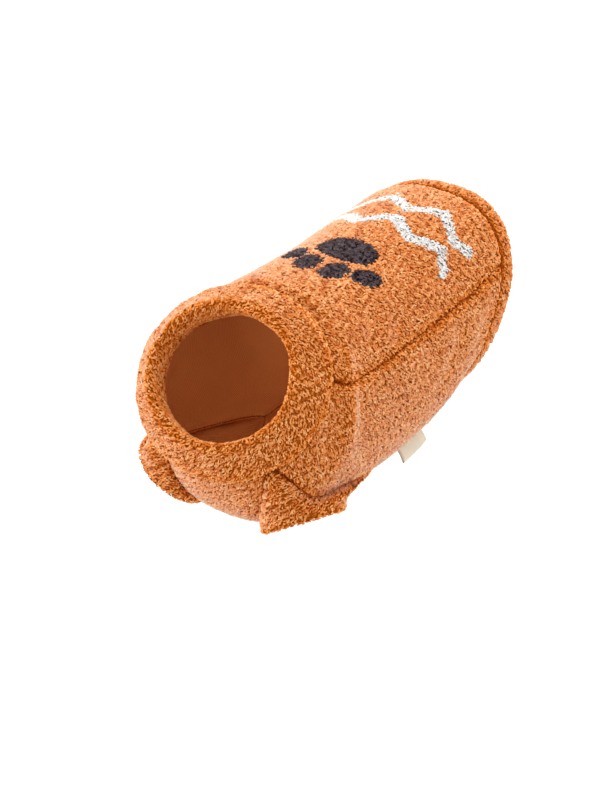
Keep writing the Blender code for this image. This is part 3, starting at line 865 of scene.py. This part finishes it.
def tag_face():
    """Rows out along one layer, half a circle round the fold, and back; columns along the seam."""
    station = np.linspace(*TAG_STATIONS, TAG_COLUMNS)
    angle = belly_seam_angle(station)
    outward = -inward(station, angle)
    across = unit(body_point(station, angle + 1) - body_point(station, angle - 1))
    straight = np.linspace(-TAG_ROOT, TAG_REACH - TAG_LAYERS, TAG_STRAIGHT_ROWS)
    turn = np.linspace(np.pi / 2, -np.pi / 2, TAG_FOLD_ROWS)
    out = np.concatenate([straight[:-1], TAG_REACH - TAG_LAYERS * (1 - np.cos(turn)), straight[-2::-1]])
    layer = np.full(len(straight) - 1, TAG_LAYERS)
    up = np.concatenate([layer, TAG_LAYERS * np.sin(turn), -layer])
    free = np.clip(out / TAG_REACH, 0, 1)
    droop = TAG_BEND * free**2
    wave = TAG_WAVE * np.sin(np.linspace(0, TAG_WAVE_TURN, TAG_COLUMNS)) * free[:, None]
    lift = up[:, None] - droop[:, None] + wave
    return body_point(station, angle) + outward * out[:, None, None] + across * lift[..., None]


tag = add_wall("side_tag_tape", tag_face()[:, ::-1], woven_tape, thickness=TAG_TAPE)

# %% [markdown]
# ## The pile's curls
#
# Each curl is a short loop of yarn with both feet in the ground. Most are turned about 40 degrees from the
# rows of the knit, and neighbours turn alike. Each leans a little towards the middle of the small tuft that
# it stands in, so the pile opens up between the tufts, as washed bouclé does. Hair curves or particle hair
# could make a finer pile, but they don't survive in an exported mesh. So each curl is a closed arch: a
# point in the ground, two rings of three points along its top, and a point in the ground again. That is
# only twelve triangles, so there can be over seventy thousand. Its normals are mixed with the ground's
# own, which makes so many hard little shapes shade as one soft surface. Short curls lie deeper in the
# pile, so their colour is painted deeper, as painted shade.

# %% Curls
CURL_SPACING = 1.56
CURL_LENGTH = 3.1
CURL_TURN, CURL_SWING, CURL_SPREAD = 0.7, 0.35, 0.5  # radians: how curls are turned from the rows
CURL_FLAT = 0.55  # how far out its two rings are, as a part of the way to its feet
CURL_BOW = 0.4  # mm: how far its top may stand to one side of its feet
CURL_TILT = 0.2  # mm: how much higher one ring may be than the middle
CURL_RADIUS = 0.6
CURL_SINK = 0.5  # how far the feet go into the ground
SIDES = 3
NAP = 0.6  # how much of the ground's normal is in the curls' normals
CURL_LENGTHS, CURL_RADII = (0.75, 1.25), (0.8, 1.25)  # how curls differ from one another
UPRIGHT = 0.6  # no curl leans further from the ground's normal than to this cosine
# These paint shade into each curl: dark feet, each ring lighter on top than underneath, and short curls,
# which stand low in the pile, deeper in colour.
POINT_RISES = (0.1, 1.0, 0.75, 0.75, 1.0, 0.75, 0.75, 0.1)  # at its eight points: feet, and two rings' tops
RISE_SLOPE, RISE_LOSS = 1.5, 0.45  # how quickly short curls lose their light shades
TUFT_LIMIT = 1.5  # the sum of the waves that make the tufts stays within this
MAP_MARGIN = 0.06  # of a curl's square on its map, left free at each side
CURL_LEVELS = (0.7, 1.0)  # how tall curls are, as a part of the pile's depth
TUFT_LEVEL = 0.1  # how much taller they are in the middle of a tuft
TUFTS = 12  # waves that add up to the tufts
TUFT_LENGTHS = (4.5, 9.0)
TUFT_LEAN = 0.35  # how strongly curls lean towards the middle of their tuft
LOOSE_LEAN = 0.3  # how far they lean any way at all
# Short pile near a seam is also painted deep in colour: painted shade in the seam's groove.
SEAM_REACH = 4.5  # mm: the pile gets shorter over this distance as it nears a seam
SEAM_SHORT = 0.15  # how tall it still is at the seam
# Under the collar's edge the pile lies short and flat, and its deep colour there is the collar's painted
# shadow.
COLLAR_LAP_SHADOW = 4.8  # mm of each panel that lie flat under the collar's edge
OPEN_FROM, OPEN_TURN = 1.3, 10.0  # cloth bent round a radius of 33 mm is all open, round 8 mm not at all
OUTSIDE_SLOPE = 2.0  # how quickly the haze comes where a tube's face turns outwards
HAZE_REACH = 10.0  # mm: the haze fades over this distance as it nears a seam
GOLDEN = (0.7548776662, 0.5698402910)  # these steps fill a square evenly

tuft_ways = unit(chance.normal(size=(TUFTS, 3)))
tuft_turns = 2 * np.pi / chance.uniform(*TUFT_LENGTHS, TUFTS)


def tufted(points):
    """A sum of short sines, within its limit, and the way in which it grows fastest."""
    phases = (points @ tuft_ways.T) * tuft_turns
    growth = (np.cos(phases) * tuft_turns) @ tuft_ways / np.sqrt(TUFTS)
    return np.clip(np.sin(phases).sum(axis=-1) / np.sqrt(TUFTS), -TUFT_LIMIT, TUFT_LIMIT), growth


def between(grid, row, column):
    """A grid's values between its points, bilinear."""
    r, c = np.floor(row).astype(int), np.floor(column).astype(int)
    down, right = row - r, column - c
    if grid.ndim == 3:
        down, right = down[:, None], right[:, None]
    near = grid[r, c] * (1 - right) + grid[r, c + 1] * right
    far = grid[r + 1, c] * (1 - right) + grid[r + 1, c + 1] * right
    return near * (1 - down) + far * down


def seam_distance(face, around):
    """How far each grid point is from a seam: the first row, a panel's sides, and a band under the collar's
    edge where the pile is short and painted in shadow.
    """
    distance = lengths_along(face, 0)
    if around:
        return distance
    across = lengths_along(face, 1)
    to_side = np.minimum(across, across[:, -1:] - across)
    # Under the collar's edge the pile is short and flat and, as painted shadow of the collar, deep in colour.
    to_collar = np.clip(distance[-1:] - distance - COLLAR_LAP_SHADOW, 0, None)
    return np.minimum(np.minimum(distance, to_side), to_collar)


def openness(face, around):
    """1 where the cloth lies open, less where it turns tightly, and 0 inside a collar, cuff or hem."""
    normal = grid_normals(face, around)
    turns = grid_slopes(normal, around)
    tight = [np.linalg.norm(turn, axis=-1) / np.linalg.norm(slope, axis=-1).clip(0.1)
             for turn, slope in zip(turns, grid_slopes(face, around))]
    openly = np.clip(OPEN_FROM - OPEN_TURN * np.maximum(*tight), 0, 1)
    if around:
        outward = unit(face - face.mean(axis=1, keepdims=True))
        openly *= np.clip(OUTSIDE_SLOPE * (outward * normal).sum(axis=-1), 0, 1)
    return openly


def scatter(face, around):
    """Places for curls, as many to a cell as its area asks, spread within it by golden steps."""
    area = face_area(face, around)
    steps = np.floor(np.cumsum(area.ravel()) / CURL_SPACING**2)
    cell = np.repeat(np.arange(area.size), np.diff(steps, prepend=0).astype(int))
    order = np.arange(len(cell))
    row = cell // area.shape[1] + (order * GOLDEN[0]) % 1
    column = cell % area.shape[1] + (order * GOLDEN[1]) % 1
    grids = [face, grid_normals(face, around), unit(grid_slopes(face, around)[0])]
    grids += [seam_distance(face, around), openness(face, around)]
    if around:
        grids = [np.concatenate([grid, grid[:, :1]], axis=1) for grid in grids]
    return row, column, [between(grid, row, column) for grid in grids]


def curl_points(root, normal, slope, distance, openly):
    """Each curl's eight points with their normals, its painted shade from how high in the pile each point
    stands, and its haze.
    """
    count = len(root)
    tuft, growth = tufted(root)
    turn = CURL_TURN + CURL_SWING * tuft[:, None] + chance.normal(0, CURL_SPREAD, (count, 1))
    way = np.cos(turn) * slope + np.sin(turn) * np.cross(normal, slope)
    side = np.cross(normal, way)
    loose = chance.normal(0, LOOSE_LEAN, (count, 2))
    up = unit(normal + growth * TUFT_LEAN + side * loose[:, :1] + way * loose[:, 1:])
    up = unit(up + normal * np.clip(UPRIGHT - (up * normal).sum(axis=1, keepdims=True), 0, None))
    level = chance.uniform(*CURL_LEVELS, count) + TUFT_LEVEL * tuft
    room = (SEAM_SHORT + (1 - SEAM_SHORT) * np.clip(distance / SEAM_REACH, 0, 1))[:, None]
    level *= room[:, 0]
    half = way * (CURL_LENGTH / 2 * chance.uniform(*CURL_LENGTHS, (count, 1))) * room
    bow = side * chance.uniform(-CURL_BOW, CURL_BOW, (count, 1)) * room
    foot = root - normal * CURL_SINK
    top = root + up * ((PILE - CURL_RADIUS) * level)[:, None] + bow
    across = unit(np.cross(way, up))
    spoke = (np.arange(SIDES) * 2 * np.pi / SIDES)[:, None]
    ring = np.cos(spoke) * np.cross(across, way)[:, None] + np.sin(spoke) * across[:, None]
    thick = ring * CURL_RADIUS * chance.uniform(*CURL_RADII, (count, 1, 1))
    tilt = up * chance.uniform(-CURL_TILT, CURL_TILT, (count, 1))
    first = (top - half * CURL_FLAT - tilt)[:, None] + thick
    second = (top + half * CURL_FLAT + tilt)[:, None] + thick
    points = np.concatenate([(foot - half)[:, None], first, second, (foot + half)[:, None]], axis=1)
    own = np.concatenate([-way[:, None], ring, ring, way[:, None]], axis=1)
    normals = unit(own * (1 - NAP) + normal[:, None] * NAP)
    # Painted shade: deep at the feet, under the rings, and on low curls, which include those near a seam.
    pile_shading = np.array(POINT_RISES) * np.clip(level * RISE_SLOPE - RISE_LOSS, 0, 1)[:, None]
    haze = openly * np.clip(distance / HAZE_REACH, 0, 1)
    return points, normals, pile_shading, pile_shading * haze[:, None]


def curl_pattern():
    """One curl's triangles, with their places on its patch of the map: three strips of three parts."""
    triangles, places = [], []
    for side in range(SIDES):
        a, b = 1 + side, 1 + (side + 1) % SIDES
        c, d = a + SIDES, b + SIDES
        triangles += [(0, b, a), (a, b, d), (a, d, c), (c, d, 1 + 2 * SIDES)]
        places += [
            ((side + 0.5, 0), (side + 1, 1), (side, 1)),
            ((side, 1), (side + 1, 1), (side + 1, 2)),
            ((side, 1), (side + 1, 2), (side, 2)),
            ((side, 2), (side + 1, 2), (side + 0.5, 3)),
        ]
    return np.array(triangles), np.array(places) / (SIDES, 3)


def add_pile(name, places, material):
    """All the curls at these places as one mesh, with its numbers, and a map that gives each curl its own
    small square.
    """
    points, normals, pile_shading, haze = curl_points(*places)
    count, size = points.shape[:2]
    triangles, square = curl_pattern()
    all_triangles = (triangles + (np.arange(count) * size)[:, None, None]).reshape(-1, 3)
    piece = add_mesh(name, points.reshape(-1, 3), all_triangles, material)
    piece.data.normals_split_custom_set_from_vertices(normals.reshape(-1, 3))
    set_numbers(piece, "pile_shading", pile_shading.ravel())
    set_numbers(piece, "haze", haze.ravel())
    set_numbers(piece, "dye", np.repeat(chance.uniform(0, 1, count), size))
    cells = int(np.ceil(np.sqrt(count)))
    corner = np.stack([np.arange(count) % cells, np.arange(count) // cells], axis=-1)
    spread = (corner[:, None, None] + MAP_MARGIN + (1 - 2 * MAP_MARGIN) * square) / cells
    set_map(piece, "OFBake", spread.reshape(-1, 2))
    print(name, "has", count, "curls")
    return piece


# %% [markdown]
# ## The design on the back
#
# The real back has dark and white yarn knitted into its pile, so a design's edge is as ragged as the
# curls. Here each curl asks where it stands, in millimetres across from the spine and forward from the
# hem seam, and takes its yarn from that. The design is a plain paw print and two zigzag stripes.

# %% Design
PAW = (
    # across, forward, half width, half length, turned by degrees
    (0, 132, 25, 19, 0),
    (-33, 153, 9.5, 14, 26),
    (-12, 168, 10, 15, 9),
    (12, 168, 10, 15, -9),
    (33, 153, 9.5, 14, -26),
)
ZIGZAGS = ((44, 0), (76, 24))  # forward from the hem seam, and how far its points are moved across
RAGGED = 0.9  # mm: how far a curl at the design's edge may stray
ZIGZAG_LENGTH, ZIGZAG_HEIGHT, ZIGZAG_STROKE, ZIGZAG_REACH = 48.0, 15.0, 10.0, 66.0


def in_paw(across, forward):
    """Inside any of five ellipses."""
    inside = np.zeros(across.shape, bool)
    for x, y, wide, long, turned in PAW:
        cosine, sine = np.cos(np.radians(turned)), np.sin(np.radians(turned))
        dx, dy = across - x, forward - y
        inside |= ((dx * cosine - dy * sine) / wide) ** 2 + ((dx * sine + dy * cosine) / long) ** 2 < 1
    return inside


def in_zigzag(across, forward):
    """Within half a stroke of a triangle wave, for either stripe."""
    inside = np.zeros(across.shape, bool)
    for base, shift in ZIGZAGS:
        wave = np.abs(((across + shift) / ZIGZAG_LENGTH) % 1 * 2 - 1) - 0.5
        slant = np.hypot(1, 2 * ZIGZAG_HEIGHT / ZIGZAG_LENGTH)
        inside |= np.abs(forward - base - wave * ZIGZAG_HEIGHT) < ZIGZAG_STROKE / 2 * slant
    return inside & (np.abs(across) < ZIGZAG_REACH)


def flat_places(face):
    """Millimetres across from the middle column, and forward from the hem seam, for each grid point."""
    across = lengths_along(face, 1)
    return np.stack([across - across[:, -1:] / 2, lengths_along(face, 0)], axis=-1)


back = faces["back_panel"]
grid_across, grid_forward = np.moveaxis(flat_places(back), -1, 0)
grid_paw = in_paw(grid_across, grid_forward)
set_root_shade(grounds["back_panel"], back, np.where(grid_paw, 1, 2 * in_zigzag(grid_across, grid_forward)))
row, column, on_back = scatter(back, False)
across, forward = between(flat_places(back), row, column).T + chance.normal(0, RAGGED, (2, len(row)))
dark = in_paw(across, forward)
white = in_zigzag(across, forward) & ~dark
piles = {"back_panel": []}
for yarn, chosen, material in (
    ("orange", ~(dark | white), orange_yarn),
    ("charcoal", dark, dark_yarn),
    ("white", white, white_yarn),
):
    places = [values[chosen] for values in on_back]
    piles["back_panel"].append(add_pile(f"back_panel_{yarn}_pile", places, material))

# %% Pile on the other pieces
PLAIN_PANELS = ("side_left", "side_right", "belly_panel")
TUBES = ("sleeve_left", "sleeve_right", "collar", "hem_band")
for node in PLAIN_PANELS + TUBES:
    set_root_shade(grounds[node], faces[node])
    places = scatter(faces[node], node in TUBES)[2]
    piles[node] = [add_pile(node + "_pile", places, orange_yarn)]

# %% [markdown]
# ## Each piece in place of its CAD solid
#
# Every ground is a sheet of cloth, cut to a known flat size, and takes the place of its CAD solid, which
# is hidden. It goes on the root body, and its pile goes with it.

# %% Pieces and flat sizes
CUTS = {
    # width and length in metres, area in square metres, how it is held
    "back_panel": (0.195, 0.240, 0.0438, "stretched"),
    "side_left": (0.120, 0.245, 0.0252, "stretched"),
    "side_right": (0.120, 0.245, 0.0252, "stretched"),
    "belly_panel": (0.120, 0.272, 0.0259, "stretched"),
    "sleeve_left": (0.330, 0.092, 0.0093, "folded"),
    "sleeve_right": (0.330, 0.092, 0.0093, "folded"),
    "collar": (0.400, 0.072, 0.0272, "folded"),
    "hem_band": (0.505, 0.036, 0.0172, "folded"),
}
for node, (width, length, area, held) in CUTS.items():
    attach(grounds[node], "root")
    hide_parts(node)
    for pile in piles[node]:
        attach(pile, "root")
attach(tag, "root")
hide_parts("side_tag")

# %% [markdown]
# ## Studio
#
# A pale floor far below, a white world for even fill, and six large soft lamps. The strongest stand above
# the rear and low at the wearer's right, so the pile's edges glow. The camera is at the photo's angle:
# 36 degrees round from the front, 31 degrees up.

# %% Floor, light and camera
AZIMUTH, ELEVATION = 35.6, 31.0
TARGET = np.array((0.0, -35.5, -98.0))
DISTANCE = 2600.0
LENS, SENSOR = 153.97, 36.0
FLOOR_HEIGHT, FLOOR_HALF = -0.40, 4.0  # metres
PALE = (0.93, 0.93, 0.93, 1.0)
WORLD_STRENGTH = 0.8
LAMP_DISTANCE, LAMP_SIZE = 2200.0, 1.6  # millimetres, metres
LAMPS = {
    # azimuth, elevation, watts; left and right are as the camera sees them
    "back": (205, 55, 18.0),
    "rear": (165, 30, 9.0),
    "right": (130, 12, 8.0),
    "left": (-55, 8, 25.0),
    "front": (35, 31, 5.0),
    "top": (40, 88, 5.0),
}

floor_mesh = bpy.data.meshes.new("floor")
square = np.array([(-1, -1, 0), (1, -1, 0), (1, 1, 0), (-1, 1, 0)]) * FLOOR_HALF + (0, 0, FLOOR_HEIGHT)
floor_mesh.from_pydata(square.tolist(), [], [(0, 1, 2, 3)])
floor = bpy.data.objects.new("floor", floor_mesh)
bpy.context.scene.collection.objects.link(floor)
floor_paint = bpy.data.materials.new("pale floor")
floor_paint.use_nodes = True
floor_paint.node_tree.nodes["Principled BSDF"].inputs["Base Color"].default_value = PALE
floor_paint.node_tree.nodes["Principled BSDF"].inputs["Roughness"].default_value = 1.0
floor_mesh.materials.append(floor_paint)

world = bpy.data.worlds.new("white room")
world.use_nodes = True
world.node_tree.nodes["Background"].inputs["Color"].default_value = (1, 1, 1, 1)
world.node_tree.nodes["Background"].inputs["Strength"].default_value = WORLD_STRENGTH
bpy.context.scene.world = world


def direction(azimuth, elevation):
    """The way from the pullover to a camera or lamp: azimuth from the front towards its left side."""
    a, e = np.radians(azimuth), np.radians(elevation)
    return np.array((np.sin(a) * np.cos(e), -np.cos(a) * np.cos(e), np.sin(e)))


def aim(thing, azimuth, elevation, distance):
    """Put a lamp or a camera on that side of the target and turn it to the target."""
    way = direction(azimuth, elevation)
    thing.location = Vector((TARGET + way * distance) * MM)
    thing.rotation_euler = Vector(way).to_track_quat("Z", "Y").to_euler()
    bpy.context.scene.collection.objects.link(thing)


for name, (azimuth, elevation, power) in LAMPS.items():
    lamp = bpy.data.lights.new(name, "AREA")
    lamp.shape, lamp.size, lamp.energy = "DISK", LAMP_SIZE, power
    aim(bpy.data.objects.new(name, lamp), azimuth, elevation, LAMP_DISTANCE)

camera_data = bpy.data.cameras.new("camera")
camera_data.lens, camera_data.sensor_width = LENS, SENSOR
camera = bpy.data.objects.new("camera", camera_data)
aim(camera, AZIMUTH, ELEVATION, DISTANCE)
bpy.context.scene.camera = camera
bpy.context.scene.view_settings.view_transform = "Standard"
